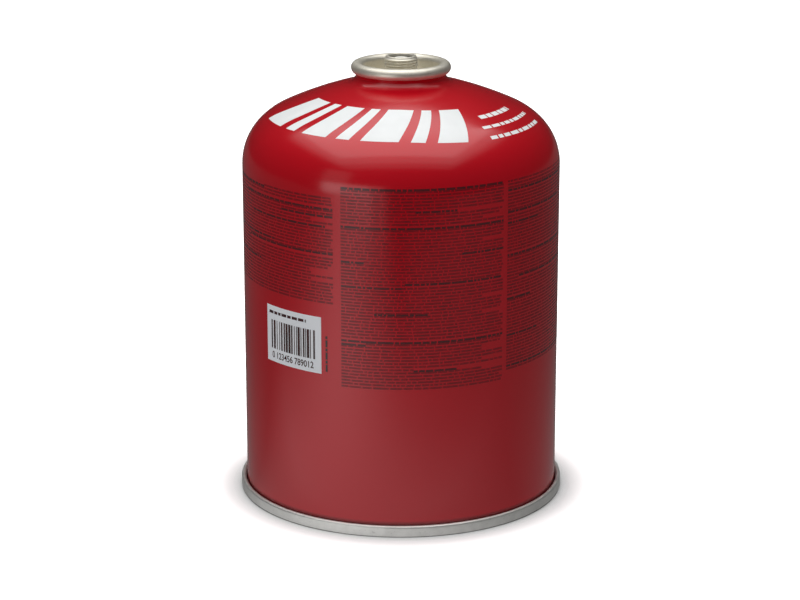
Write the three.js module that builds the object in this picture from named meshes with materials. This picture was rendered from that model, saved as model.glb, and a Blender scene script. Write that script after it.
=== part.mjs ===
// Fuel canister with a screw valve, in millimetres, +Z up, standing on the foot of its seam at z = 0.
// A necked body, a bottom end that is double-seamed on, and a valve cup that is curled over the neck.
// The sealed inside can't be seen, so the body is one solid with its contents.
import * as THREE from 'three';

// Sheet and fits
const SHEET = 0.35;
const CLEARANCE = 0.3;
const LAYER = SHEET + CLEARANCE;

// Body
const BODY_RADIUS = 53.5;
const WALL_TOP = 114.2;
const SHOULDER_RADIUS = 19.7;
const SHOULDER_ANGLE = 43;
const CROWN_RADIUS = 23.2;
const CONE_ANGLE = 70;
const CONE_FOOT_RADIUS = 19.5;
const NECK_FILLET = 8.1;
const NECK_FILLET_END = 28;

// Bottom end and its double seam
const SEAM_HEIGHT = 3.4;
const SEAM_CORNER = 0.6;
const CHUCK_WALL_HEIGHT = 5.2;
const PANEL_CORNER = 1.6;
const PANEL_DOME_ANGLE = 18;

// Valve cup
const CURL_RADIUS = 1.785;
const CURL_CENTRE_RADIUS = 14.78;
const CURL_ABOVE_CONE = 5.6;
const CURL_END_ANGLE = -55;
const CLINCH_DROP = 3.6;
const CLINCH_RADIUS = 1.1;
const CLINCH_ANGLE = 40;
const CUP_DEPTH = 9.4;
const CUP_CORNER = 1.2;

// Screw post, at the outside diameter of its 7/16 inch thread
const POST_RADIUS = 5.55;
const POST_RISE = 2.0;
const POST_BEAD_RADIUS = 0.55;
const POST_BEAD_INSET = 0.4;
const POST_ROOT_FILLET = 1.0;
const POST_COLLAR_HEIGHT = 2.2;
const POST_COLLAR_STEP = 0.7;
const MOUTH_RADIUS = 4.3;
const MOUTH_DEPTH = 3.2;

// Seal and stem in the mouth of the post
const SEAL_THICKNESS = 1.8;
const STEM_RADIUS = 2.25;
const STEM_BELOW_RIM = 0.75;
const STEM_EDGE = 0.3;

// Facets
const TURN_SEGMENTS = 44;
const SMALL_TURN_SEGMENTS = 24;

const degrees = THREE.MathUtils.degToRad;

function point(radius, height) {
  return new THREE.Vector2(radius, height);
}

// A bend is an arc of a sheet's middle line, seen in section, from one angle to another in degrees.
function bend(centreRadius, centreHeight, radius, from, to, steps) {
  return { centreRadius, centreHeight, radius, from, to, steps };
}

// The points of a bend, moved sideways to the left of its direction of travel.
function bendPoints(arc, offset) {
  const turnsLeft = arc.to > arc.from;
  const radius = turnsLeft ? arc.radius - offset : arc.radius + offset;
  const points = [];
  for (let step = 0; step <= arc.steps; step += 1) {
    const angle = degrees(arc.from + ((arc.to - arc.from) * step) / arc.steps);
    const across = arc.centreRadius + radius * Math.cos(angle);
    points.push(point(across, arc.centreHeight + radius * Math.sin(angle)));
  }
  return points;
}

// One side of a sheet: its bends joined by straight runs.
function sheetSide(bends, offset) {
  return bends.flatMap((arc) => bendPoints(arc, offset));
}

// A closed section, given as points from the axis and back to it, turned about Z.
function turned(name, section, material, segments) {
  const geometry = new THREE.LatheGeometry(section, segments);
  geometry.rotateX(Math.PI / 2);
  const mesh = new THREE.Mesh(geometry, material);
  mesh.name = name;
  return mesh;
}

// Radii and heights of the seam's layers, from the body's wall outwards
const wallMiddle = BODY_RADIUS - SHEET / 2;
const chuckWallMiddle = wallMiddle - LAYER;
const coverHookMiddle = wallMiddle + LAYER;
const bodyHookMiddle = coverHookMiddle + LAYER;
const coverMiddle = bodyHookMiddle + LAYER;
const bodyHookTurn = LAYER + SHEET / 2 + LAYER;
const coverHookTurn = SEAM_HEIGHT - SHEET / 2 - LAYER;

// The bottom end, from its middle over the panel and down the chuck wall to the hook in the seam
const panelEdge = chuckWallMiddle - PANEL_CORNER * (1 - Math.sin(degrees(PANEL_DOME_ANGLE)));
const panelDomeRadius = panelEdge / Math.sin(degrees(PANEL_DOME_ANGLE));
const panelEdgeHeight = CHUCK_WALL_HEIGHT + PANEL_CORNER * Math.cos(degrees(PANEL_DOME_ANGLE));
const panelDomeCentre = panelEdgeHeight - panelDomeRadius * Math.cos(degrees(PANEL_DOME_ANGLE));
const panelCornerRadius = chuckWallMiddle - PANEL_CORNER;
const footMiddle = SHEET / 2;
const panelBends = [
  bend(0, panelDomeCentre, panelDomeRadius, 90, 90 - PANEL_DOME_ANGLE, 4),
  bend(panelCornerRadius, CHUCK_WALL_HEIGHT, PANEL_CORNER, 90 - PANEL_DOME_ANGLE, 0, 3),
];
const seamBends = [
  bend(chuckWallMiddle + SEAM_CORNER, footMiddle + SEAM_CORNER, SEAM_CORNER, 180, 270, 2),
  bend(coverMiddle - SEAM_CORNER, footMiddle + SEAM_CORNER, SEAM_CORNER, 270, 360, 2),
  bend(bodyHookMiddle, coverHookTurn, LAYER, 0, 180, 4),
];
const coverHookEnd = [
  point(coverHookMiddle - SHEET / 2, bodyHookTurn),
  point(coverHookMiddle + SHEET / 2, bodyHookTurn),
];

// The body's flange, turned out and up into the end's hook
const flangeBend = bend(coverHookMiddle, bodyHookTurn, LAYER, 180, 360, 4);
const bodyHookEnd = [
  point(bodyHookMiddle + SHEET / 2, coverHookTurn),
  point(bodyHookMiddle - SHEET / 2, coverHookTurn),
];

// The shoulder: two arcs, a straight cone and a hollow fillet up to the neck
const shoulderCentre = BODY_RADIUS - SHOULDER_RADIUS;
const crownShift = SHOULDER_RADIUS - CROWN_RADIUS;
const crownCentreRadius = shoulderCentre + crownShift * Math.cos(degrees(SHOULDER_ANGLE));
const crownCentreHeight = WALL_TOP + crownShift * Math.sin(degrees(SHOULDER_ANGLE));
const coneStartRadius = crownCentreRadius + CROWN_RADIUS * Math.cos(degrees(CONE_ANGLE));
const coneStartHeight = crownCentreHeight + CROWN_RADIUS * Math.sin(degrees(CONE_ANGLE));
const coneRise = (coneStartRadius - CONE_FOOT_RADIUS) / Math.tan(degrees(CONE_ANGLE));
const coneEndHeight = coneStartHeight + coneRise;
const neckCentreRadius = CONE_FOOT_RADIUS + NECK_FILLET * Math.cos(degrees(CONE_ANGLE));
const neckCentreHeight = coneEndHeight + NECK_FILLET * Math.sin(degrees(CONE_ANGLE));
const shoulderBends = [
  bend(shoulderCentre, WALL_TOP, SHOULDER_RADIUS, 0, SHOULDER_ANGLE, 5),
  bend(crownCentreRadius, crownCentreHeight, CROWN_RADIUS, SHOULDER_ANGLE, CONE_ANGLE, 3),
  bend(neckCentreRadius, neckCentreHeight, NECK_FILLET, 180 + CONE_ANGLE, 180 + NECK_FILLET_END, 3),
];

// The valve cup, from its floor up the wall, out and in again at the clinch, and over the neck's bead
const curlHeight = coneEndHeight + CURL_ABOVE_CONE;
const cupTop = curlHeight + CURL_RADIUS + SHEET / 2;
const cupFloorMiddle = cupTop - CUP_DEPTH - SHEET / 2;
const cupWallMiddle = CURL_CENTRE_RADIUS - CURL_RADIUS;
const clinchHeight = curlHeight - CLINCH_DROP;
const clinchReach = CLINCH_RADIUS * Math.sin(degrees(CLINCH_ANGLE));
const clinchOuter = cupWallMiddle + CLINCH_RADIUS;
const clinchInner = clinchOuter - 2 * CLINCH_RADIUS * Math.cos(degrees(CLINCH_ANGLE));
const cupBends = [
  bend(cupWallMiddle - CUP_CORNER, cupFloorMiddle + CUP_CORNER, CUP_CORNER, -90, 0, 2),
  bend(clinchOuter, clinchHeight - 2 * clinchReach, CLINCH_RADIUS, 180, 180 - CLINCH_ANGLE, 1),
  bend(clinchInner, clinchHeight, CLINCH_RADIUS, -CLINCH_ANGLE, CLINCH_ANGLE, 2),
  bend(clinchOuter, clinchHeight + 2 * clinchReach, CLINCH_RADIUS, 180 + CLINCH_ANGLE, 180, 1),
  bend(CURL_CENTRE_RADIUS, curlHeight, CURL_RADIUS, 180, CURL_END_ANGLE, 7),
];

// Heights on the screw post
const floorTop = cupFloorMiddle + SHEET / 2;
const rimTop = cupTop + POST_RISE;
const beadCentreRadius = POST_RADIUS - POST_BEAD_INSET - POST_BEAD_RADIUS;
const beadCentreHeight = rimTop - POST_BEAD_RADIUS;
const mouthFloor = rimTop - MOUTH_DEPTH;
const collarRadius = POST_RADIUS + POST_COLLAR_STEP;
const collarTop = floorTop + POST_COLLAR_HEIGHT;

// Materials
const redLacquer = new THREE.MeshStandardMaterial({ color: 0xa0101c, roughness: 0.22, metalness: 0.35 });
const tinplate = new THREE.MeshStandardMaterial({ color: 0xc9c6bf, roughness: 0.3, metalness: 1 });
const brightTinplate = new THREE.MeshStandardMaterial({ color: 0xd8d0c0, roughness: 0.2, metalness: 1 });
const blackRubber = new THREE.MeshStandardMaterial({ color: 0x1c1b1a, roughness: 0.7, metalness: 0 });
const paleAcetal = new THREE.MeshStandardMaterial({ color: 0xe6e2d8, roughness: 0.4, metalness: 0 });

// The bottom end: both sides of one sheet, with its free edge in the seam
function bottomEnd() {
  const bends = [...panelBends, ...seamBends];
  const outside = sheetSide(bends, -SHEET / 2);
  const inside = sheetSide(bends, SHEET / 2).reverse();
  const section = [...outside, ...coverHookEnd, ...inside];
  return turned('bottom_end', section, tinplate, TURN_SEGMENTS);
}

// The body, clear of the bottom end below it and of the valve cup above it
function canBody() {
  const overEnd = sheetSide(panelBends, SHEET / 2 + CLEARANCE);
  const flangeOutside = bendPoints(flangeBend, -SHEET / 2);
  const flangeInside = bendPoints(flangeBend, SHEET / 2).reverse();
  const shoulder = sheetSide(shoulderBends, 0);
  const underCup = sheetSide(cupBends, -SHEET / 2 - CLEARANCE).reverse();
  const recessFloor = point(0, cupFloorMiddle - SHEET / 2 - CLEARANCE);
  const section = [
    ...overEnd,
    ...flangeOutside,
    ...bodyHookEnd,
    ...flangeInside,
    ...shoulder,
    ...underCup,
    recessFloor,
  ];
  return turned('can_body', section, redLacquer, TURN_SEGMENTS);
}

// The valve cup and its screw post, drawn from one sheet: the post is closed below its mouth
function valveCup() {
  const underside = sheetSide(cupBends, -SHEET / 2);
  const topside = sheetSide(cupBends, SHEET / 2).reverse();
  const rootCentre = collarRadius + POST_ROOT_FILLET;
  const root = bend(rootCentre, floorTop + POST_ROOT_FILLET, POST_ROOT_FILLET, 270, 180, 2);
  const rimBead = bend(beadCentreRadius, beadCentreHeight, POST_BEAD_RADIUS, 0, 180, 4);
  const section = [
    point(0, cupFloorMiddle - SHEET / 2),
    ...underside,
    ...topside,
    ...bendPoints(root, 0),
    point(collarRadius, collarTop),
    point(POST_RADIUS, collarTop + POST_COLLAR_STEP),
    point(POST_RADIUS, beadCentreHeight - POST_BEAD_INSET),
    ...bendPoints(rimBead, 0),
    point(MOUTH_RADIUS, mouthFloor),
    point(0, mouthFloor),
  ];
  return turned('valve_cup', section, brightTinplate, TURN_SEGMENTS);
}

// The seal lies on the floor of the mouth, round the stem
function valveSeal() {
  const innerRadius = STEM_RADIUS + CLEARANCE;
  const outerRadius = MOUTH_RADIUS - CLEARANCE;
  const bottom = mouthFloor + CLEARANCE;
  const top = bottom + SEAL_THICKNESS;
  const section = [
    point(innerRadius, bottom),
    point(outerRadius, bottom),
    point(outerRadius, top),
    point(innerRadius, top),
    point(innerRadius, bottom),
  ];
  return turned('valve_seal', section, blackRubber, SMALL_TURN_SEGMENTS);
}

// The head of the stem stands in the seal, a little below the rim
function valveStem() {
  const top = rimTop - STEM_BELOW_RIM;
  const section = [
    point(0, mouthFloor + CLEARANCE),
    point(STEM_RADIUS, mouthFloor + CLEARANCE),
    point(STEM_RADIUS, top - STEM_EDGE),
    point(STEM_RADIUS - STEM_EDGE, top),
    point(0, top),
  ];
  return turned('valve_stem', section, paleAcetal, SMALL_TURN_SEGMENTS);
}

const group = new THREE.Group();
group.add(bottomEnd(), canBody(), valveCup(), valveSeal(), valveStem());

export default group;
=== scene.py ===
import math
import random

import bmesh
import bpy
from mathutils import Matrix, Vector


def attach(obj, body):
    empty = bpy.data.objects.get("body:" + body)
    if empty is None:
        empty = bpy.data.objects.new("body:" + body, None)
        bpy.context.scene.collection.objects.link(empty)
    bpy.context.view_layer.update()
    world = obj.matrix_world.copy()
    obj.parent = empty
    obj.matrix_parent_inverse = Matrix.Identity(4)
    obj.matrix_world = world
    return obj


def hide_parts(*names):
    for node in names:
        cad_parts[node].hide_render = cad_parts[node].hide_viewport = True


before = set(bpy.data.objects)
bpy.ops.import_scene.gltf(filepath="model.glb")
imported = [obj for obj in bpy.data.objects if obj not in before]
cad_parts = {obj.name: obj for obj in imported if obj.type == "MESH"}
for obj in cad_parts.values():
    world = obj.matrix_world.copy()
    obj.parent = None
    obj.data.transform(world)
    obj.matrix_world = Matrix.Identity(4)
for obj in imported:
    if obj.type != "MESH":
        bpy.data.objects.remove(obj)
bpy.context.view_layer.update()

MM = 0.001
BODY = "root"

# Sheet and fits, in millimetres as in the part's source
SHEET = 0.35
CLEARANCE = 0.3
LAYER = SHEET + CLEARANCE

# Body. The crowned cone and the bend into the neck follow the photograph more closely than the solid
BODY_RADIUS = 53.5
WALL_TOP = 114.2
SHOULDER_RADIUS = 19.7
SHOULDER_ANGLE = 43
CROWN_RADIUS = 23.2
CONE_ANGLE = 70
CONE_FOOT_RADIUS = 19.5
CONE_CROWN = 5
NECK_BEND_RADIUS = 4.6
NECK_END = 28
NECK_INNER_RADIUS = 15.1

# Bottom end and its double seam, a little taller than on the solid, as photographed
SEAM_HEIGHT = 3.8
SEAM_CORNER = 0.6
CHUCK_WALL_HEIGHT = 5.2
PANEL_CORNER = 1.6
PANEL_DOME_ANGLE = 18

# Valve cup
CURL_RADIUS = 1.785
CURL_CENTRE_RADIUS = 14.78
CURL_ABOVE_CONE = 5.6
CURL_END_ANGLE = -55
CLINCH_DROP = 3.6
CLINCH_RADIUS = 1.1
CLINCH_ANGLE = 40
CUP_DEPTH = 9.4
CUP_CORNER = 1.2

# Screw post
POST_RADIUS = 5.55
POST_RISE = 2.0
POST_BEAD_RADIUS = 0.55
POST_BEAD_INSET = 0.4
POST_ROOT_FILLET = 1.0
POST_COLLAR_HEIGHT = 2.2
POST_COLLAR_STEP = 0.7
MOUTH_RADIUS = 4.3
MOUTH_DEPTH = 3.2

# Thread of the post, 28 to the inch
THREAD_PITCH = 25.4 / 28
THREAD_DEPTH = 0.5
THREAD_CREST = 0.16
THREAD_ROOT = 0.24
THREAD_ROWS_PER_TURN = 14
THREAD_FADE = 0.7

# Seal and stem in the mouth of the post
SEAL_THICKNESS = 1.8
SEAL_EDGE = 0.15
STEM_RADIUS = 2.25
STEM_BELOW_RIM = 0.75
STEM_EDGE = 0.3
STEM_BORE_RADIUS = 0.5
STEM_BORE_DEPTH = 0.5
STEM_BORE_CHAMFER = (0.2, 0.1)

# How finely the turned pieces are divided
FINE_TURN = 384
SMALL_TURN = 192
WALL_STEP = 6.0
SHARP_EDGE = math.radians(32)
ON_AXIS = 1e-6
SAME_PLACE = 0.0001

# Camera, fitted to the photograph's outlines
PHOTO_WIDTH = 800
FOCAL_PIXELS = 2557.6
SENSOR_WIDTH = 36.0
CAMERA_DISTANCE = 0.84162
CAMERA_HEIGHT = 0.30944
CAMERA_PITCH = math.radians(16.1758)
AXIS_RIGHT_OF_MIDDLE = 1.0
CLIP_NEAR = 0.01
CLIP_FAR = 20.0


def point(radius, height):
    return (radius, height)


def bend(centre_radius, centre_height, radius, start, end, steps):
    """An arc of a sheet's middle line, seen in section, from one angle to another in degrees."""
    return (centre_radius, centre_height, radius, start, end, steps)


def bend_points(arc, offset):
    """The points of a bend, moved sideways to the left of its direction of travel."""
    centre_radius, centre_height, radius, start, end, steps = arc
    moved = radius - offset if end > start else radius + offset
    points = []
    for step in range(steps + 1):
        angle = math.radians(start + (end - start) * step / steps)
        radius_here = centre_radius + moved * math.cos(angle)
        height_here = centre_height + moved * math.sin(angle)
        points.append(point(radius_here, height_here))
    return points


def sheet_side(bends, offset):
    """One side of a sheet: its bends joined by straight runs."""
    return [p for arc in bends for p in bend_points(arc, offset)]


def sin_deg(angle):
    return math.sin(math.radians(angle))


def cos_deg(angle):
    return math.cos(math.radians(angle))


# Radii and heights of the seam's layers, from the body's wall outwards
WALL_MIDDLE = BODY_RADIUS - SHEET / 2
CHUCK_WALL_MIDDLE = WALL_MIDDLE - LAYER
COVER_HOOK_MIDDLE = WALL_MIDDLE + LAYER
BODY_HOOK_MIDDLE = COVER_HOOK_MIDDLE + LAYER
COVER_MIDDLE = BODY_HOOK_MIDDLE + LAYER
BODY_HOOK_TURN = LAYER + SHEET / 2 + LAYER
COVER_HOOK_TURN = SEAM_HEIGHT - SHEET / 2 - LAYER
FOOT_MIDDLE = SHEET / 2

# The panel of the bottom end
PANEL_EDGE = CHUCK_WALL_MIDDLE - PANEL_CORNER * (1 - sin_deg(PANEL_DOME_ANGLE))
PANEL_DOME_RADIUS = PANEL_EDGE / sin_deg(PANEL_DOME_ANGLE)
PANEL_EDGE_HEIGHT = CHUCK_WALL_HEIGHT + PANEL_CORNER * cos_deg(PANEL_DOME_ANGLE)
PANEL_DOME_CENTRE = PANEL_EDGE_HEIGHT - PANEL_DOME_RADIUS * cos_deg(PANEL_DOME_ANGLE)
PANEL_CORNER_RADIUS = CHUCK_WALL_MIDDLE - PANEL_CORNER
PANEL_BENDS = [
    bend(0, PANEL_DOME_CENTRE, PANEL_DOME_RADIUS, 90, 90 - PANEL_DOME_ANGLE, 24),
    bend(PANEL_CORNER_RADIUS, CHUCK_WALL_HEIGHT, PANEL_CORNER, 90 - PANEL_DOME_ANGLE, 0, 10),
]
SEAM_BENDS = [
    bend(CHUCK_WALL_MIDDLE + SEAM_CORNER, FOOT_MIDDLE + SEAM_CORNER, SEAM_CORNER, 180, 270, 8),
    bend(COVER_MIDDLE - SEAM_CORNER, FOOT_MIDDLE + SEAM_CORNER, SEAM_CORNER, 270, 360, 8),
    bend(BODY_HOOK_MIDDLE, COVER_HOOK_TURN, LAYER, 0, 180, 14),
]
FLANGE_BEND = bend(COVER_HOOK_MIDDLE, BODY_HOOK_TURN, LAYER, 180, 360, 10)

# The shoulder
SHOULDER_CENTRE = BODY_RADIUS - SHOULDER_RADIUS
CROWN_SHIFT = SHOULDER_RADIUS - CROWN_RADIUS
CROWN_CENTRE_RADIUS = SHOULDER_CENTRE + CROWN_SHIFT * cos_deg(SHOULDER_ANGLE)
CROWN_CENTRE_HEIGHT = WALL_TOP + CROWN_SHIFT * sin_deg(SHOULDER_ANGLE)
CONE_START_RADIUS = CROWN_CENTRE_RADIUS + CROWN_RADIUS * cos_deg(CONE_ANGLE)
CONE_START_HEIGHT = CROWN_CENTRE_HEIGHT + CROWN_RADIUS * sin_deg(CONE_ANGLE)
CONE_RISE = (CONE_START_RADIUS - CONE_FOOT_RADIUS) / math.tan(math.radians(CONE_ANGLE))
CONE_END_HEIGHT = CONE_START_HEIGHT + CONE_RISE
# The cone is one long bend, whose slope runs from CROWN_END to NECK_START
CROWN_END = CONE_ANGLE - CONE_CROWN
NECK_START = CONE_ANGLE + CONE_CROWN
CROWN_END_RADIUS = CROWN_CENTRE_RADIUS + CROWN_RADIUS * cos_deg(CROWN_END)
CROWN_END_HEIGHT = CROWN_CENTRE_HEIGHT + CROWN_RADIUS * sin_deg(CROWN_END)
NECK_CENTRE_RADIUS = NECK_INNER_RADIUS + NECK_BEND_RADIUS * cos_deg(NECK_END)
NECK_START_RADIUS = NECK_CENTRE_RADIUS - NECK_BEND_RADIUS * cos_deg(NECK_START)
CONE_WIDTH = CROWN_END_RADIUS - NECK_START_RADIUS
CONE_BEND_RADIUS = CONE_WIDTH / (cos_deg(CROWN_END) - cos_deg(NECK_START))
CONE_CENTRE_RADIUS = CROWN_END_RADIUS - CONE_BEND_RADIUS * cos_deg(CROWN_END)
CONE_CENTRE_HEIGHT = CROWN_END_HEIGHT - CONE_BEND_RADIUS * sin_deg(CROWN_END)
NECK_START_HEIGHT = CONE_CENTRE_HEIGHT + CONE_BEND_RADIUS * sin_deg(NECK_START)
NECK_CENTRE_HEIGHT = NECK_START_HEIGHT + NECK_BEND_RADIUS * sin_deg(NECK_START)
SHOULDER_BENDS = [
    bend(SHOULDER_CENTRE, WALL_TOP, SHOULDER_RADIUS, 0, SHOULDER_ANGLE, 28),
    bend(CROWN_CENTRE_RADIUS, CROWN_CENTRE_HEIGHT, CROWN_RADIUS, SHOULDER_ANGLE, CROWN_END, 20),
    bend(CONE_CENTRE_RADIUS, CONE_CENTRE_HEIGHT, CONE_BEND_RADIUS, CROWN_END, NECK_START, 12),
    bend(NECK_CENTRE_RADIUS, NECK_CENTRE_HEIGHT, NECK_BEND_RADIUS, 180 + NECK_START, 180 + NECK_END, 14),
]

# The valve cup
CURL_HEIGHT = CONE_END_HEIGHT + CURL_ABOVE_CONE
CUP_TOP = CURL_HEIGHT + CURL_RADIUS + SHEET / 2
CUP_FLOOR_MIDDLE = CUP_TOP - CUP_DEPTH - SHEET / 2
CUP_WALL_MIDDLE = CURL_CENTRE_RADIUS - CURL_RADIUS
CLINCH_HEIGHT = CURL_HEIGHT - CLINCH_DROP
CLINCH_REACH = CLINCH_RADIUS * sin_deg(CLINCH_ANGLE)
CLINCH_OUTER = CUP_WALL_MIDDLE + CLINCH_RADIUS
CLINCH_INNER = CLINCH_OUTER - 2 * CLINCH_RADIUS * cos_deg(CLINCH_ANGLE)
CUP_BENDS = [
    bend(CUP_WALL_MIDDLE - CUP_CORNER, CUP_FLOOR_MIDDLE + CUP_CORNER, CUP_CORNER, -90, 0, 8),
    bend(CLINCH_OUTER, CLINCH_HEIGHT - 2 * CLINCH_REACH, CLINCH_RADIUS, 180, 180 - CLINCH_ANGLE, 5),
    bend(CLINCH_INNER, CLINCH_HEIGHT, CLINCH_RADIUS, -CLINCH_ANGLE, CLINCH_ANGLE, 10),
    bend(CLINCH_OUTER, CLINCH_HEIGHT + 2 * CLINCH_REACH, CLINCH_RADIUS, 180 + CLINCH_ANGLE, 180, 5),
    bend(CURL_CENTRE_RADIUS, CURL_HEIGHT, CURL_RADIUS, 180, CURL_END_ANGLE, 32),
]

# Heights on the screw post
FLOOR_TOP = CUP_FLOOR_MIDDLE + SHEET / 2
RIM_TOP = CUP_TOP + POST_RISE
BEAD_CENTRE_RADIUS = POST_RADIUS - POST_BEAD_INSET - POST_BEAD_RADIUS
BEAD_CENTRE_HEIGHT = RIM_TOP - POST_BEAD_RADIUS
MOUTH_FLOOR = RIM_TOP - MOUTH_DEPTH
COLLAR_RADIUS = POST_RADIUS + POST_COLLAR_STEP
COLLAR_TOP = FLOOR_TOP + POST_COLLAR_HEIGHT
THREAD_START = COLLAR_TOP + POST_COLLAR_STEP
THREAD_END = BEAD_CENTRE_HEIGHT - POST_BEAD_INSET


def link(obj):
    bpy.context.scene.collection.objects.link(obj)
    return obj


def finish_piece(obj, material, slot):
    """Give a piece its material and let it ride."""
    obj.data.materials.clear()
    obj.data.materials.append(material)
    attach(obj, BODY)


def without_doubles(section):
    """The section with each point named once where two bends meet."""
    kept = [section[0]]
    for place in section[1:]:
        if math.dist(place, kept[-1]) > SAME_PLACE:
            kept.append(place)
    return kept


def turned(name, section, segments, radius_at=None):
    """A closed section turned about Z; radius_at can move a point in or out round the turn."""
    mesh = bmesh.new()
    rings = []
    section = without_doubles(section)
    for radius, height in section:
        if radius < ON_AXIS:
            rings.append([mesh.verts.new((0.0, 0.0, height * MM))])
            continue
        ring = []
        for index in range(segments):
            angle = 2 * math.pi * index / segments
            here = radius if radius_at is None else radius_at(radius, height, angle)
            x = here * math.cos(angle)
            y = here * math.sin(angle)
            ring.append(mesh.verts.new((x * MM, y * MM, height * MM)))
        rings.append(ring)
    on_axis = section[0][0] < ON_AXIS
    pairs = list(zip(rings, rings[1:]))
    if not on_axis:
        pairs.append((rings[-1], rings[0]))
    for low, high in pairs:
        for index in range(segments):
            after = (index + 1) % segments
            if len(low) == 1 and len(high) > 1:
                mesh.faces.new((low[0], high[after], high[index]))
            elif len(high) == 1 and len(low) > 1:
                mesh.faces.new((low[index], low[after], high[0]))
            elif len(low) > 1:
                mesh.faces.new((low[index], low[after], high[after], high[index]))
    bmesh.ops.recalc_face_normals(mesh, faces=mesh.faces)
    data = bpy.data.meshes.new(name)
    mesh.to_mesh(data)
    mesh.free()
    data.polygons.foreach_set("use_smooth", [True] * len(data.polygons))
    data.set_sharp_from_angle(angle=SHARP_EDGE)
    return link(bpy.data.objects.new(name, data))


def fine_run(start, end, step):
    """Points along a straight run, both ends left out."""
    count = max(1, round(math.dist(start, end) / step))
    return [
        point(start[0] + (end[0] - start[0]) * k / count, start[1] + (end[1] - start[1]) * k / count)
        for k in range(1, count)
    ]


def body_section():
    over_end = sheet_side(PANEL_BENDS, SHEET / 2 + CLEARANCE)
    flange_outside = bend_points(FLANGE_BEND, -SHEET / 2)
    hook_end = [
        point(BODY_HOOK_MIDDLE + SHEET / 2, COVER_HOOK_TURN),
        point(BODY_HOOK_MIDDLE - SHEET / 2, COVER_HOOK_TURN),
    ]
    flange_inside = bend_points(FLANGE_BEND, SHEET / 2)[::-1]
    wall = fine_run(flange_inside[-1], point(BODY_RADIUS, WALL_TOP), WALL_STEP)
    shoulder = sheet_side(SHOULDER_BENDS, 0)
    under_cup = sheet_side(CUP_BENDS, -SHEET / 2 - CLEARANCE)[::-1]
    recess_floor = point(0, CUP_FLOOR_MIDDLE - SHEET / 2 - CLEARANCE)
    outside = over_end + flange_outside + hook_end + flange_inside + wall + shoulder
    return outside + under_cup + [recess_floor]


def bottom_section():
    bends = PANEL_BENDS + SEAM_BENDS
    hook_end = [
        point(COVER_HOOK_MIDDLE - SHEET / 2, BODY_HOOK_TURN),
        point(COVER_HOOK_MIDDLE + SHEET / 2, BODY_HOOK_TURN),
    ]
    return sheet_side(bends, -SHEET / 2) + hook_end + sheet_side(bends, SHEET / 2)[::-1]


def cup_section():
    underside = sheet_side(CUP_BENDS, -SHEET / 2)
    topside = sheet_side(CUP_BENDS, SHEET / 2)[::-1]
    root_radius = COLLAR_RADIUS + POST_ROOT_FILLET
    root_height = FLOOR_TOP + POST_ROOT_FILLET
    root = bend(root_radius, root_height, POST_ROOT_FILLET, 270, 180, 8)
    rim_bead = bend(BEAD_CENTRE_RADIUS, BEAD_CENTRE_HEIGHT, POST_BEAD_RADIUS, 0, 180, 16)
    thread_foot = point(POST_RADIUS, THREAD_START)
    thread_head = point(POST_RADIUS, THREAD_END)
    thread = fine_run(thread_foot, thread_head, THREAD_PITCH / THREAD_ROWS_PER_TURN)
    return (
        [point(0, CUP_FLOOR_MIDDLE - SHEET / 2)]
        + underside
        + topside
        + bend_points(root, 0)
        + [point(COLLAR_RADIUS, COLLAR_TOP), thread_foot]
        + thread
        + [thread_head]
        + bend_points(rim_bead, 0)
        + [point(MOUTH_RADIUS, MOUTH_FLOOR), point(0, MOUTH_FLOOR)]
    )


def thread_radius(radius, height, angle):
    """A right-hand thread cut into the post, running out at both ends."""
    if abs(radius - POST_RADIUS) > SAME_PLACE or not THREAD_START <= height <= THREAD_END:
        return radius
    turn = ((height - THREAD_START) / THREAD_PITCH - angle / (2 * math.pi)) % 1.0
    from_crest = abs(turn - 0.5) * 2
    flank = (from_crest - THREAD_CREST) / (1 - THREAD_CREST - THREAD_ROOT)
    depth = THREAD_DEPTH * min(1.0, max(0.0, flank))
    run_in = min(1.0, (height - THREAD_START) / THREAD_FADE, (THREAD_END - height) / THREAD_FADE)
    return radius - depth * max(0.0, run_in)


def ring_section(inner, outer, bottom, top, edge):
    """A square ring with its upper and lower edges broken."""
    return [
        point(inner, bottom + edge),
        point(inner + edge, bottom),
        point(outer - edge, bottom),
        point(outer, bottom + edge),
        point(outer, top - edge),
        point(outer - edge, top),
        point(inner + edge, top),
        point(inner, top - edge),
    ]


def stem_section():
    top = RIM_TOP - STEM_BELOW_RIM
    return [
        point(0, MOUTH_FLOOR + CLEARANCE),
        point(STEM_RADIUS, MOUTH_FLOOR + CLEARANCE),
        point(STEM_RADIUS, top - STEM_EDGE),
        *bend_points(bend(STEM_RADIUS - STEM_EDGE, top - STEM_EDGE, STEM_EDGE, 0, 90, 5), 0),
        point(STEM_BORE_RADIUS + STEM_BORE_CHAMFER[0], top),
        point(STEM_BORE_RADIUS, top - STEM_BORE_CHAMFER[1]),
        point(STEM_BORE_RADIUS, top - STEM_BORE_DEPTH),
        point(0, top - STEM_BORE_DEPTH),
    ]


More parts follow.
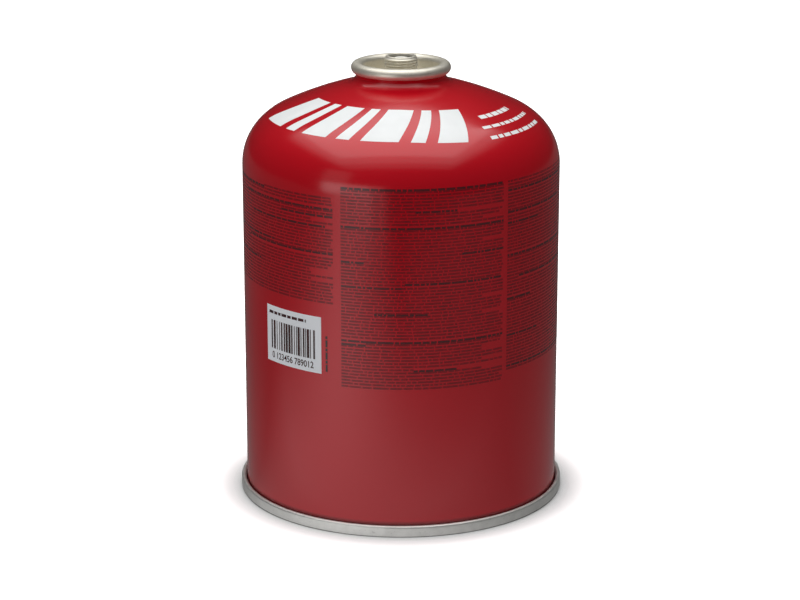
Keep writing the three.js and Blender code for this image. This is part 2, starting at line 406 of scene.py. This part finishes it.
class Nodes:
    """A short way to write a node material."""

    def __init__(self, name):
        self.material = bpy.data.materials.new(name)
        self.material.use_nodes = True
        self.tree = self.material.node_tree
        self.tree.nodes.clear()
        self.output = self.add("ShaderNodeOutputMaterial")

    def add(self, kind, inputs=None, **settings):
        node = self.tree.nodes.new(kind)
        for key, value in settings.items():
            setattr(node, key, value)
        for key, value in (inputs or {}).items():
            if isinstance(value, bpy.types.NodeSocket):
                self.tree.links.new(value, node.inputs[key])
            else:
                node.inputs[key].default_value = value
        return node

    def where(self):
        """The place on the object, in metres."""
        return self.add("ShaderNodeTexCoord").outputs["Object"]

    def noise(self, scale, detail, vector=None):
        inputs = {"Scale": scale, "Detail": detail}
        inputs["Vector"] = self.where() if vector is None else vector
        return self.add("ShaderNodeTexNoise", inputs).outputs["Fac"]

    def remap(self, value, low, high, new_low, new_high):
        inputs = {0: value, 1: low, 2: high, 3: new_low, 4: new_high}
        return self.add("ShaderNodeMapRange", inputs).outputs[0]

    def mix(self, factor, first, second):
        node = self.add("ShaderNodeMix", data_type="RGBA")
        for index, value in ((0, factor), (6, first), (7, second)):
            socket = node.inputs[index]
            if isinstance(value, bpy.types.NodeSocket):
                self.tree.links.new(value, socket)
            else:
                socket.default_value = value
        return node.outputs[2]

    def math(self, operation, first, second=0.0):
        return self.add("ShaderNodeMath", {0: first, 1: second}, operation=operation).outputs[0]

    def bump(self, height, strength, distance, normal=None):
        inputs = {"Height": height, "Strength": strength, "Distance": distance}
        if normal is not None:
            inputs["Normal"] = normal
        return self.add("ShaderNodeBump", inputs).outputs["Normal"]

    def surface(self, shader):
        self.tree.links.new(shader.outputs[0], self.output.inputs["Surface"])
        return self.material


def turned_place(nodes, around, along):
    """Coordinates that run round the axis and up it, for marks left by turning and rolling."""
    split = nodes.add("ShaderNodeSeparateXYZ", {"Vector": nodes.where()})
    x, y, z = split.outputs
    angle = nodes.math("ARCTAN2", y, x)
    cosine = nodes.math("MULTIPLY", nodes.math("COSINE", angle), around)
    sine = nodes.math("MULTIPLY", nodes.math("SINE", angle), around)
    square = nodes.math("ADD", nodes.math("MULTIPLY", x, x), nodes.math("MULTIPLY", y, y))
    radius = nodes.math("SQRT", square)
    height = nodes.math("MULTIPLY", nodes.math("ADD", z, radius), along)
    return nodes.add("ShaderNodeCombineXYZ", {"X": cosine, "Y": sine, "Z": height}).outputs["Vector"]


def turned_noise(nodes, around, along, detail):
    """Noise drawn out round the axis."""
    return nodes.noise(1.0, detail, turned_place(nodes, around, along))


# The middle range of a noise, which is spread over the whole range of a colour or a roughness
NOISE_LOW = 0.3
NOISE_HIGH = 0.7

# Lacquer: two reds, how rough it is under its clear coat, its waves and grain; a bump is strength and depth
LACQUER_LIGHT = (0.53, 0.0010, 0.0100, 1)
LACQUER_DARK = (0.50, 0.0006, 0.0080, 1)
LACQUER_ROUGH = (0.52, 0.60)
LACQUER_CLOUD = 28.0
LACQUER_GRAIN = 1400.0
CLOUD_BUMP = (0.06, 0.0015)
DRAWN_BUMP = (0.03, 0.00006)
PEEL_BUMP = (0.035, 0.00005)

# Painted shade in the groove over the seam, a darker red at the foot of the wall: between which heights it
# fades out, and how much it covers
GROOVE_SHADE_LOW = 3.7
GROOVE_SHADE_HIGH = 5.0
GROOVE_SHADE_SHARE = 0.85
GROOVE_SHADE_COLOUR = (0.06, 0.002, 0.003, 1)

# Tinplate: the noise at which its scuffs start and are whole, how much they cover, how dark, and its bumps
SCUFF_LEVEL = (0.64, 0.72)
SCUFF_SHARE = 0.45
SCUFF_SHADE = 0.62
BLOTCH_BUMP = (0.05, 0.0002)
GRAIN_BUMP = (0.10, 0.00002)


def red_lacquer():
    """Deep red lacquer over bright tinplate, smooth, faintly wavy from the drawing of the body."""
    nodes = Nodes("red_lacquer")
    cloud = nodes.noise(LACQUER_CLOUD, 2.0)
    grain = nodes.noise(LACQUER_GRAIN, 2.0)
    draw = turned_noise(nodes, 1.5, 700.0, 2.0)
    tone = nodes.remap(cloud, NOISE_LOW, NOISE_HIGH, 0.0, 1.0)
    unshaded = nodes.mix(tone, LACQUER_DARK, LACQUER_LIGHT)
    # Painted shade: the red darkens towards the foot of the wall, just over the seam
    height = nodes.add("ShaderNodeSeparateXYZ", {"Vector": nodes.where()}).outputs["Z"]
    groove_shade = nodes.remap(height, GROOVE_SHADE_LOW * MM, GROOVE_SHADE_HIGH * MM, GROOVE_SHADE_SHARE, 0.0)
    colour = nodes.mix(groove_shade, unshaded, GROOVE_SHADE_COLOUR)
    rough = nodes.remap(nodes.noise(60.0, 3.0), NOISE_LOW, NOISE_HIGH, *LACQUER_ROUGH)
    soft = nodes.bump(cloud, *CLOUD_BUMP)
    drawn = nodes.bump(draw, *DRAWN_BUMP, soft)
    peel = nodes.bump(grain, *PEEL_BUMP, drawn)
    shader = nodes.add(
        "ShaderNodeBsdfPrincipled",
        {
            "Base Color": colour,
            "Metallic": 0.2,
            "Roughness": rough,
            "Specular IOR Level": 0.2,
            "Specular Tint": (1.0, 0.05, 0.08, 1),
            "Normal": drawn,
            "Coat Weight": 1.0,
            "Coat Roughness": 0.17,
            "Coat IOR": 1.6,
            "Coat Normal": peel,
        },
    )
    return nodes.surface(shader)


def tinplate(name, light, dark, rough_low, rough_high, metallic):
    """Tinplate with a fine grain round the axis, faint blotches and a few short scuffs."""
    nodes = Nodes(name)
    grain = turned_noise(nodes, 2.2, 2600.0, 3.0)
    blotch = nodes.noise(260.0, 3.0)
    scuffs = nodes.remap(turned_noise(nodes, 40.0, 2400.0, 2.0), *SCUFF_LEVEL, 0.0, 1.0)
    scuffed = tuple(c * SCUFF_SHADE for c in dark[:3]) + (1,)
    base = nodes.mix(nodes.remap(blotch, 0.35, 0.65, 0.0, 1.0), light, dark)
    worn = nodes.mix(nodes.math("MULTIPLY", scuffs, SCUFF_SHARE), base, scuffed)
    rough = nodes.remap(grain, NOISE_LOW, NOISE_HIGH, rough_low, rough_high)
    soft = nodes.bump(blotch, *BLOTCH_BUMP)
    lines = nodes.bump(grain, *GRAIN_BUMP, soft)
    shader = nodes.add(
        "ShaderNodeBsdfPrincipled",
        {"Base Color": worn, "Metallic": metallic, "Roughness": rough, "Normal": lines},
    )
    return nodes.surface(shader)


def plain_material(name, light, dark, rough_low, rough_high, grain_size, depth):
    """Rubber, plastic or ink: a colour that varies a little, with a fine grain."""
    nodes = Nodes(name)
    grain = nodes.noise(grain_size, 3.0)
    tone = nodes.remap(nodes.noise(grain_size / 8, 2.0), NOISE_LOW, NOISE_HIGH, 0.0, 1.0)
    colour = nodes.mix(tone, light, dark)
    shader = nodes.add(
        "ShaderNodeBsdfPrincipled",
        {
            "Base Color": colour,
            "Roughness": nodes.remap(grain, NOISE_LOW, NOISE_HIGH, rough_low, rough_high),
            "Normal": nodes.bump(grain, 0.1, depth),
        },
    )
    return nodes.surface(shader)


# Metals: light and dark colour, lowest and highest roughness, how much of the surface is bare metal
METALS = {
    "tinplate": ((0.88, 0.87, 0.84, 1), (0.80, 0.79, 0.76, 1), 0.40, 0.50, 0.8),
    "bright_tinplate": ((0.90, 0.86, 0.755, 1), (0.82, 0.78, 0.665, 1), 0.40, 0.50, 0.78),
}

# Rubber, plastic and inks: light and dark colour, lowest and highest roughness, size and depth of the grain
PLAIN = {
    "black_rubber": ((0.020, 0.019, 0.018, 1), (0.035, 0.033, 0.031, 1), 0.5, 0.7, 1800.0, 0.00003),
    "pale_acetal": ((0.80, 0.78, 0.73, 1), (0.72, 0.70, 0.64, 1), 0.25, 0.38, 900.0, 0.00002),
    "white_ink": ((0.80, 0.82, 0.82, 1), (0.76, 0.78, 0.78, 1), 0.34, 0.44, 1200.0, 0.00002),
    "field_white": ((0.90, 0.92, 0.96, 1), (0.87, 0.89, 0.93, 1), 0.34, 0.44, 1200.0, 0.00002),
    "fine_ink": ((0.270, 0.004, 0.010, 1), (0.165, 0.007, 0.011, 1), 0.17, 0.22, 3200.0, 0.00001),
    "dark_ink": ((0.105, 0.010, 0.013, 1), (0.070, 0.012, 0.014, 1), 0.18, 0.24, 2400.0, 0.00001),
    "black_ink": ((0.060, 0.012, 0.014, 1), (0.030, 0.014, 0.015, 1), 0.18, 0.24, 2400.0, 0.00001),
}

MATERIALS = {"red_lacquer": red_lacquer()}
for metal, looks in METALS.items():
    MATERIALS[metal] = tinplate(metal, *looks)
for plain, looks in PLAIN.items():
    MATERIALS[plain] = plain_material(plain, *looks)


def make_turned_pieces():
    """The turned pieces, each over the plain solid of the same name."""
    pieces = [
        ("can_body_fine", body_section(), FINE_TURN, None, "can_body", "red_lacquer"),
        ("bottom_end_fine", bottom_section(), FINE_TURN, None, "bottom_end", "tinplate"),
        ("valve_cup_fine", cup_section(), SMALL_TURN, thread_radius, "valve_cup", "bright_tinplate"),
    ]
    seal_bottom = MOUTH_FLOOR + CLEARANCE
    seal_top = seal_bottom + SEAL_THICKNESS
    seal = ring_section(STEM_RADIUS + CLEARANCE, MOUTH_RADIUS - CLEARANCE, seal_bottom, seal_top, SEAL_EDGE)
    pieces.append(("valve_seal_fine", seal, SMALL_TURN, None, "valve_seal", "black_rubber"))
    pieces.append(("valve_stem_fine", stem_section(), SMALL_TURN, None, "valve_stem", "pale_acetal"))
    for name, section, segments, radius_at, node, slot in pieces:
        piece = turned(name, section, segments, radius_at)
        finish_piece(piece, MATERIALS[slot], slot)
        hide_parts(node)


# Print, as plates of ink on the body: across in degrees from the front, up along the skin in millimetres
INK_LIFT = 0.03
INK_ROOT = -0.05
INK_STEP = 2.5
SHOULDER_STEP = 1.5
DEGREE = math.pi / 180 * BODY_RADIUS

# Blocks of fine print: left and right edge, top, bottom
TEXT_BLOCKS = {
    "left": (-83.0, -24.2, 113.6, 77.0),
    "centre": (-21.2, 38.2, 117.8, 50.0),
    "right": (40.2, 99.0, 117.4, 52.0),
}
ROW_PITCH = 1.055
ROW_TALL = 0.63
WORD_LENGTHS = (0.9, 1.4, 1.9, 2.4, 3.1, 4.0, 5.2)
WORD_GAP = 0.38
SHORTEST_WORD = 0.6

# How much of a fine row is left free at its end, as a share of the block's width
ROW_ENDS = (0.0, 0.0, 0.0, 0.0, 0.0, 0.0, 0.01, 0.02, 0.15)

# Darker rows in each block: height, and where they start and end as shares of the block's width
DARK_ROW_TALL = 0.74
STARTS_AT_LEFT = 0.1
DARK_ROWS = {
    "left": [
        (112.6, 0.0, 0.45), (109.4, 0.20, 1.0), (106.9, 0.62, 1.0), (103.5, 0.30, 0.95), (96.2, 0.0, 0.55),
        (94.6, 0.25, 1.0), (88.0, 0.0, 0.40),
    ],
    "centre": [
        (116.9, 0.0, 1.0), (109.7, 0.44, 0.70), (104.3, 0.0, 1.0), (95.2, 0.72, 1.0), (92.7, 0.0, 0.14),
        (85.8, 0.38, 1.0), (84.5, 0.0, 0.36), (75.6, 0.20, 0.52), (66.3, 0.0, 1.0), (65.1, 0.0, 0.15),
        (56.7, 0.43, 0.70),
    ],
    "right": [
        (113.9, 0.0, 0.80), (106.6, 0.0, 0.60), (103.0, 0.0, 0.28), (92.2, 0.0, 0.75), (84.6, 0.10, 0.70),
        (77.5, 0.0, 0.22), (65.1, 0.0, 0.30), (54.6, 0.0, 0.85),
    ],
}

# White field: left and right edge, top, bottom
FIELD = (-55.6, -29.0, 73.0, 53.8)

# Bars in the field: left and right edge, top, bottom; widths and gaps are in modules
BARS = (-53.0, -31.6, 68.2, 58.4)
BAR_MODULES = 62
BAR_WIDTHS = (1, 1, 2, 2, 3)
BAR_GAPS = (1, 1, 2, 3)
BAR_SEED = 12

# Line of dashes over the bars: left and right edge, height
FIELD_LINE = (-54.2, -35.4, 70.8)
FIELD_LINE_TALL = 0.95
FIELD_DASHES = (1.2, 1.6, 2.3)
FIELD_DASH_GAP = 0.5

# Upright line of dashes beside the field: azimuth, lower and upper end
SIDE_LINE = (-26.9, 54.8, 67.2)
SIDE_LINE_HALF = 0.4
SIDE_DASHES = (1.0, 1.7, 2.4)

# Row of figures under the bars: place of its foot's middle, and a figure's share of the type size
DIGITS = "0 123456 789012"
DIGITS_PLACE = (-42.4, 55.2)
DIGIT_TALL = 2.2
DIGIT_SHARE = 0.7
DIGIT_NARROW = 0.86
DIGIT_WEIGHT = 0.035

# Slanted stripes on the shoulder: left edge and width in degrees; they lean, and fall a little to the right
STRIPES = [
    (-79.0, 17.0),
    (-57.0, 6.0),
    (-46.0, 13.0),
    (-28.0, 6.0),
    (-17.0, 16.0),
    (4.0, 6.0),
    (15.0, 13.0),
]
STRIPE_ROWS = 14
STRIPE_TOP = 151.0
STRIPE_BOTTOM = 133.6
STRIPE_LEAN = 9.0
STRIPE_FALL = 0.055

# Three short lines of dashes on the right of the shoulder: left and right edge, middle, height
SHOULDER_LINES = [
    (44.0, 72.0, 142.6, 1.9),
    (39.5, 79.0, 137.2, 1.35),
    (39.5, 79.0, 132.4, 1.35),
]
SHOULDER_DASHES = (2.4, 3.6, 5.0)
SHOULDER_DASH_GAP = 0.9
SHORTEST_SHOULDER_DASH = 0.8
SHOULDER_SEED = 5


def skin(azimuth, along, lift):
    """A point on the body's skin, in metres. Past the wall's top, along runs over the shoulder's bends."""
    if along <= WALL_TOP:
        radius = BODY_RADIUS
        height = along
        tilt = 0.0
    else:
        past = along - WALL_TOP
        for centre_radius, centre_height, bend_radius, start, end, _ in SHOULDER_BENDS[:-1]:
            length = bend_radius * math.radians(end - start)
            if past <= length:
                break
            past -= length
        tilt = math.radians(start) + past / bend_radius
        radius = centre_radius + bend_radius * math.cos(tilt)
        height = centre_height + bend_radius * math.sin(tilt)
    radius += lift * math.cos(tilt)
    height += lift * math.sin(tilt)
    turn = math.radians(azimuth)
    return (radius * math.sin(turn) * MM, -radius * math.cos(turn) * MM, height * MM)


def add_plate(mesh, place, columns, rows, lift=INK_LIFT):
    """A thin closed plate of ink; place turns 0..1 across and 0..1 up into azimuth and along."""

    def face(*corners):
        mesh.faces.new(corners)

    layers = []
    for height in (INK_ROOT, lift):
        grid = []
        for row in range(rows + 1):
            line = [place(column / columns, row / rows) for column in range(columns + 1)]
            grid.append([mesh.verts.new(skin(azimuth, along, height)) for azimuth, along in line])
        layers.append(grid)
    root, top = layers
    for row in range(rows):
        for column in range(columns):
            after = column + 1
            face(top[row][column], top[row][after], top[row + 1][after], top[row + 1][column])
            face(root[row + 1][column], root[row + 1][after], root[row][after], root[row][column])
    for column in range(columns):
        after = column + 1
        face(root[0][column], root[0][after], top[0][after], top[0][column])
        face(top[rows][column], top[rows][after], root[rows][after], root[rows][column])
    for row in range(rows):
        face(top[row][0], top[row + 1][0], root[row + 1][0], root[row][0])
        face(root[row][columns], root[row + 1][columns], top[row + 1][columns], top[row][columns])


def add_box(mesh, left, right, bottom, top, lift=INK_LIFT):
    columns = max(1, math.ceil((right - left) / INK_STEP))
    rows = 1 if top < WALL_TOP else max(1, math.ceil((top - bottom) / SHOULDER_STEP))

    def place(u, v):
        return left + (right - left) * u, bottom + (top - bottom) * v

    add_plate(mesh, place, columns, rows, lift)


def ink_piece(name, mesh, material, slot):
    data = bpy.data.meshes.new(name)
    mesh.to_mesh(data)
    mesh.free()
    finish_piece(link(bpy.data.objects.new(name, data)), MATERIALS[material], slot)


def dashes(rng, start, end, lengths, gap, unit=1.0, shortest=0.0):
    """The two ends of each dash in a line; lengths and gap are divided by unit."""
    at = start
    while at < end - shortest:
        length = min(rng.choice(lengths) / unit, end - at)
        yield at, at + length
        at += length + gap / unit


def add_words(mesh, rng, left, right, middle, tall):
    """A line of dashes, as long as words, between two azimuths."""
    for low, high in dashes(rng, left, right, WORD_LENGTHS, WORD_GAP, DEGREE, SHORTEST_WORD):
        add_box(mesh, low, high, middle - tall / 2, middle + tall / 2)


def text_block(name, seed):
    """Rows of fine dashes; a row near a darker one gives way to it, and a few rows stop early."""
    rng = random.Random(seed)
    left, right, top, bottom = TEXT_BLOCKS[name]
    wide = right - left
    fine = bmesh.new()
    for row in range(int((top - bottom) / ROW_PITCH)):
        middle = top - (row + 0.5) * ROW_PITCH
        start = left
        end = right - wide * rng.choice(ROW_ENDS)
        for height, first, last in DARK_ROWS[name]:
            if abs(height - middle) >= ROW_PITCH / 2:
                continue
            if first < STARTS_AT_LEFT:
                start = left + wide * last
            else:
                end = left + wide * first
        add_words(fine, rng, start, end, middle, ROW_TALL)
    ink_piece("print_text_" + name, fine, "fine_ink", "black_ink")
    dark = bmesh.new()
    for height, first, last in DARK_ROWS[name]:
        add_words(dark, rng, left + wide * first, left + wide * last, height, DARK_ROW_TALL)
    ink_piece("print_dark_rows_" + name, dark, "dark_ink", "black_ink")


def bar_field():
    """A white field with plain bars, a line of dashes over them and an upright line of dashes beside the
    field.
    """
    rng = random.Random(BAR_SEED)
    left, right, top, bottom = FIELD
    field = bmesh.new()
    add_box(field, left, right, bottom, top)
    ink_piece("print_field", field, "field_white", "white_ink")
    marks = bmesh.new()
    left, right, top, bottom = BARS
    module = (right - left) / BAR_MODULES
    at = 0
    while at < BAR_MODULES:
        wide = min(rng.choice(BAR_WIDTHS), BAR_MODULES - at)
        add_box(marks, left + at * module, left + (at + wide) * module, bottom, top, 2 * INK_LIFT)
        at += wide + rng.choice(BAR_GAPS)
    line_left, line_right, line_middle = FIELD_LINE
    line_low = line_middle - FIELD_LINE_TALL / 2
    line_high = line_middle + FIELD_LINE_TALL / 2
    for start, end in dashes(rng, line_left, line_right, FIELD_DASHES, FIELD_DASH_GAP, DEGREE):
        add_box(marks, start, end, line_low, line_high, 2 * INK_LIFT)
    middle, low, high = SIDE_LINE
    for start, end in dashes(rng, low, high, SIDE_DASHES, WORD_GAP):
        add_box(marks, middle - SIDE_LINE_HALF, middle + SIDE_LINE_HALF, start, end)
    ink_piece("print_bars", marks, "black_ink", "black_ink")


def figures():
    """The row of figures under the bars, bent round the wall."""
    curve = bpy.data.curves.new("figures", "FONT")
    curve.body = DIGITS
    curve.size = DIGIT_TALL / DIGIT_SHARE
    curve.align_x = "CENTER"
    curve.offset = DIGIT_WEIGHT
    curve.extrude = (2 * INK_LIFT - INK_ROOT) / 2
    text = bpy.data.objects.new("figures", curve)
    data = bpy.data.meshes.new_from_object(text)
    bpy.data.objects.remove(text)
    middle, foot = DIGITS_PLACE
    for vertex in data.vertices:
        across, up, deep = vertex.co
        azimuth = middle + DIGIT_NARROW * across / DEGREE
        vertex.co = skin(azimuth, foot + up, deep + INK_ROOT + curve.extrude)
    bpy.data.curves.remove(curve)
    piece = link(bpy.data.objects.new("print_figures", data))
    finish_piece(piece, MATERIALS["black_ink"], "black_ink")


def shoulder_stripes():
    """Slanted white stripes in a row round the shoulder, and three short lines beside them."""
    mesh = bmesh.new()
    for left, width in STRIPES:

        def place(u, v, left=left, width=width):
            azimuth = left + width * u + STRIPE_LEAN * v
            along = STRIPE_BOTTOM + (STRIPE_TOP - STRIPE_BOTTOM) * v - STRIPE_FALL * max(0.0, azimuth)
            return azimuth, along

        add_plate(mesh, place, max(2, math.ceil(width / INK_STEP)), STRIPE_ROWS)
    rng = random.Random(SHOULDER_SEED)
    for left, right, middle, tall in SHOULDER_LINES:
        line = dashes(rng, left, right, SHOULDER_DASHES, SHOULDER_DASH_GAP, 1.0, SHORTEST_SHOULDER_DASH)
        for low, high in line:
            add_box(mesh, low, high, middle - tall / 2, middle + tall / 2)
    ink_piece("print_stripes", mesh, "white_ink", "white_ink")


def make_print():
    for seed, name in enumerate(TEXT_BLOCKS):
        text_block(name, seed)
    bar_field()
    figures()
    shoulder_stripes()


# Stage and light
FLOOR_SEEN = 1.71
FLOOR_SHADE_REACH = 0.016
FLOOR_SHADE_POWER = 1.7
FLOOR_BOUNCE = 0.20
FLOOR_HALF_WIDTH = 2.5
FLOOR_FRONT = -0.42
FLOOR_BACK = 3.0

# The world's strength by kind of ray: seen it is white, mirrored it is nearly dark
WORLD_LEVELS = [
    ("Is Camera Ray", 1.0),
    ("Is Glossy Ray", 0.02),
    ("Is Diffuse Ray", 0.42),
]

# The floor as mirrors see it: dim, with soft spots of light: centre, size, turn in degrees, strength
MIRROR_DIM = 0.09
LEFT_POOL = ((-0.161, -0.192), (0.30, 0.12), 50.0, 0.89)
# The left pool fades out behind the can: the way it faces, and how far before the can it starts and is whole
LEFT_POOL_SIDE = (-0.35, -1.4, 0.0)
LEFT_POOL_EDGE = (0.03, 0.10)
OTHER_SPOTS = [
    ((0.15, -0.25), (0.25, 0.25), 0.0, 0.12),
    ((0.0, 0.0), (0.15, 0.15), 0.0, 0.09),
]
# A dark patch painted into the floor's glow in front, seen only in mirrors, which the lacquer shows as a
# painted dark streak
MIRRORED_DARK_PATCH = ((0.0, -0.42), (0.035, 0.12), 0.0, 0.85)


def floor_spot(nodes, centre, size, turn, strength):
    """A soft round or long spot on the floor, fading to 0 round it."""
    settings = {
        "Vector": nodes.where(),
        "Location": (*centre, 0.0),
        "Rotation": (0.0, 0.0, math.radians(turn)),
        "Scale": (*size, 1.0),
    }
    local = nodes.add("ShaderNodeMapping", settings, vector_type="TEXTURE").outputs["Vector"]
    square = nodes.add("ShaderNodeVectorMath", {0: local, 1: local}, operation="DOT_PRODUCT")
    fall = nodes.math("EXPONENT", nodes.math("MULTIPLY", square.outputs["Value"], -1.0))
    return nodes.math("MULTIPLY", fall, strength)


def shader_floor():
    """A white floor that keeps the shadow, and that mirrors see as dim with soft pools of light."""
    nodes = Nodes("floor_white")
    path = nodes.add("ShaderNodeLightPath").outputs
    mirrored = nodes.math("MAXIMUM", path["Is Glossy Ray"], path["Is Transmission Ray"])
    place = nodes.where()
    ahead = nodes.add("ShaderNodeVectorMath", {0: place, 1: LEFT_POOL_SIDE}, operation="DOT_PRODUCT")
    before_can = nodes.remap(ahead.outputs["Value"], *LEFT_POOL_EDGE, 0.0, 1.0)
    pool = nodes.math("MULTIPLY", floor_spot(nodes, *LEFT_POOL), before_can)
    lit = nodes.math("ADD", pool, MIRROR_DIM)
    for spot in OTHER_SPOTS:
        lit = nodes.math("ADD", floor_spot(nodes, *spot), lit)
    # Painted reflection: a dark patch in the floor's glow, mirrored by the lacquer as a dark streak
    off_dark_patch = nodes.math("SUBTRACT", 1.0, floor_spot(nodes, *MIRRORED_DARK_PATCH))
    reflected = nodes.math("MULTIPLY", lit, off_dark_patch)
    shade = nodes.add("ShaderNodeAmbientOcclusion", {"Distance": FLOOR_SHADE_REACH}).outputs["AO"]
    seen = nodes.math("MULTIPLY", nodes.math("POWER", shade, FLOOR_SHADE_POWER), FLOOR_SEEN)
    in_view = nodes.math("MULTIPLY", path["Is Camera Ray"], nodes.math("SUBTRACT", seen, FLOOR_BOUNCE))
    level = nodes.math("ADD", in_view, FLOOR_BOUNCE)
    grey = nodes.add("ShaderNodeCombineColor", {0: level, 1: level, 2: level}).outputs[0]
    plain = nodes.add("ShaderNodeBsdfDiffuse", {"Color": grey})
    glow = nodes.add("ShaderNodeEmission", {"Color": (1, 1, 1, 1), "Strength": reflected})
    both = nodes.add("ShaderNodeMixShader", {0: mirrored, 1: plain.outputs[0], 2: glow.outputs[0]})
    return nodes.surface(both)


def make_floor():
    corners = [
        (-FLOOR_HALF_WIDTH, FLOOR_FRONT, 0.0),
        (FLOOR_HALF_WIDTH, FLOOR_FRONT, 0.0),
        (FLOOR_HALF_WIDTH, FLOOR_BACK, 0.0),
        (-FLOOR_HALF_WIDTH, FLOOR_BACK, 0.0),
    ]
    data = bpy.data.meshes.new("floor")
    data.from_pydata(corners, [], [(0, 1, 2, 3)])
    floor = link(bpy.data.objects.new("floor", data))
    data.materials.append(shader_floor())


def make_world():
    """A world whose strength is the sum of a level for each kind of ray."""
    world = bpy.data.worlds.new("studio")
    bpy.context.scene.world = world
    world.use_nodes = True
    tree = world.node_tree
    tree.nodes.clear()
    path = tree.nodes.new("ShaderNodeLightPath")
    previous = None
    for ray, level in WORLD_LEVELS:
        strength = tree.nodes.new("ShaderNodeMath")
        strength.operation = "MULTIPLY_ADD"
        tree.links.new(path.outputs[ray], strength.inputs[0])
        strength.inputs[1].default_value = level
        if previous is None:
            strength.inputs[2].default_value = 0.0
        else:
            tree.links.new(previous.outputs[0], strength.inputs[2])
        previous = strength
    background = tree.nodes.new("ShaderNodeBackground")
    background.inputs["Color"].default_value = (1, 1, 1, 1)
    tree.links.new(strength.outputs[0], background.inputs["Strength"])
    output = tree.nodes.new("ShaderNodeOutputWorld")
    tree.links.new(background.outputs[0], output.inputs["Surface"])


def area_light(name, place, target, width, height, power, mirrored=True, lights=True):
    light = bpy.data.lights.new(name, "AREA")
    light.shape = "RECTANGLE"
    light.size = width
    light.size_y = height
    light.energy = power
    lamp = link(bpy.data.objects.new(name, light))
    lamp.location = place
    lamp.rotation_mode = "QUATERNION"
    lamp.rotation_quaternion = (Vector(target) - Vector(place)).to_track_quat("-Z", "Y")
    lamp.visible_camera = False
    lamp.visible_glossy = mirrored
    lamp.visible_diffuse = lights


# Soft light overhead in three layers that fade out to the front: front and back edge, width, height, power
OVERHEAD_LEFT = -0.08
OVERHEAD = [
    ("overhead_wide", -1.15, 0.83, 2.1, 1.16, 4.3),
    ("overhead_middle", -0.80, 0.83, 1.8, 1.15, 4.3),
    ("overhead_core", -0.45, 0.82, 1.4, 1.14, 5.2),
]

# Other lights: place, target, width, height, power, whether mirrors see it, whether it lights matt surfaces
BODY_MIDDLE = (0.0, 0.0, 0.12)
FRONT_LIGHTS = [
    ("front_soft", (-0.4, -1.0, 1.35), (0.0, 0.0, 0.10), 0.8, 0.8, 1.75, False, True),
    ("left_card", (-0.72, -0.66, 0.32), BODY_MIDDLE, 0.34, 0.62, 0.23, True, True),
    ("left_wall", (-0.60, -0.77, 0.02), BODY_MIDDLE, 0.60, 0.48, 0.60, True, True),
    ("left_wall_wide", (-0.545, -0.80, 0.02), BODY_MIDDLE, 0.84, 0.48, 0.60, True, False),
]


def make_lights():
    for name, front, back, width, height, power in OVERHEAD:
        middle = (front + back) / 2
        below = (OVERHEAD_LEFT, middle, 0.0)
        area_light(name, (OVERHEAD_LEFT, middle, height), below, width, back - front, power)
    for light in FRONT_LIGHTS:
        area_light(*light)


def make_camera():
    data = bpy.data.cameras.new("camera")
    data.sensor_width = SENSOR_WIDTH
    data.lens = FOCAL_PIXELS / PHOTO_WIDTH * SENSOR_WIDTH
    data.shift_x = -AXIS_RIGHT_OF_MIDDLE / PHOTO_WIDTH
    data.clip_start = CLIP_NEAR
    data.clip_end = CLIP_FAR
    camera = link(bpy.data.objects.new("camera", data))
    camera.location = (0.0, -CAMERA_DISTANCE, CAMERA_HEIGHT)
    camera.rotation_euler = (math.pi / 2 - CAMERA_PITCH, 0.0, 0.0)
    bpy.context.scene.camera = camera


bpy.context.scene.view_settings.view_transform = "Standard"
make_camera()
make_world()
make_floor()
make_lights()
make_turned_pieces()
make_print()
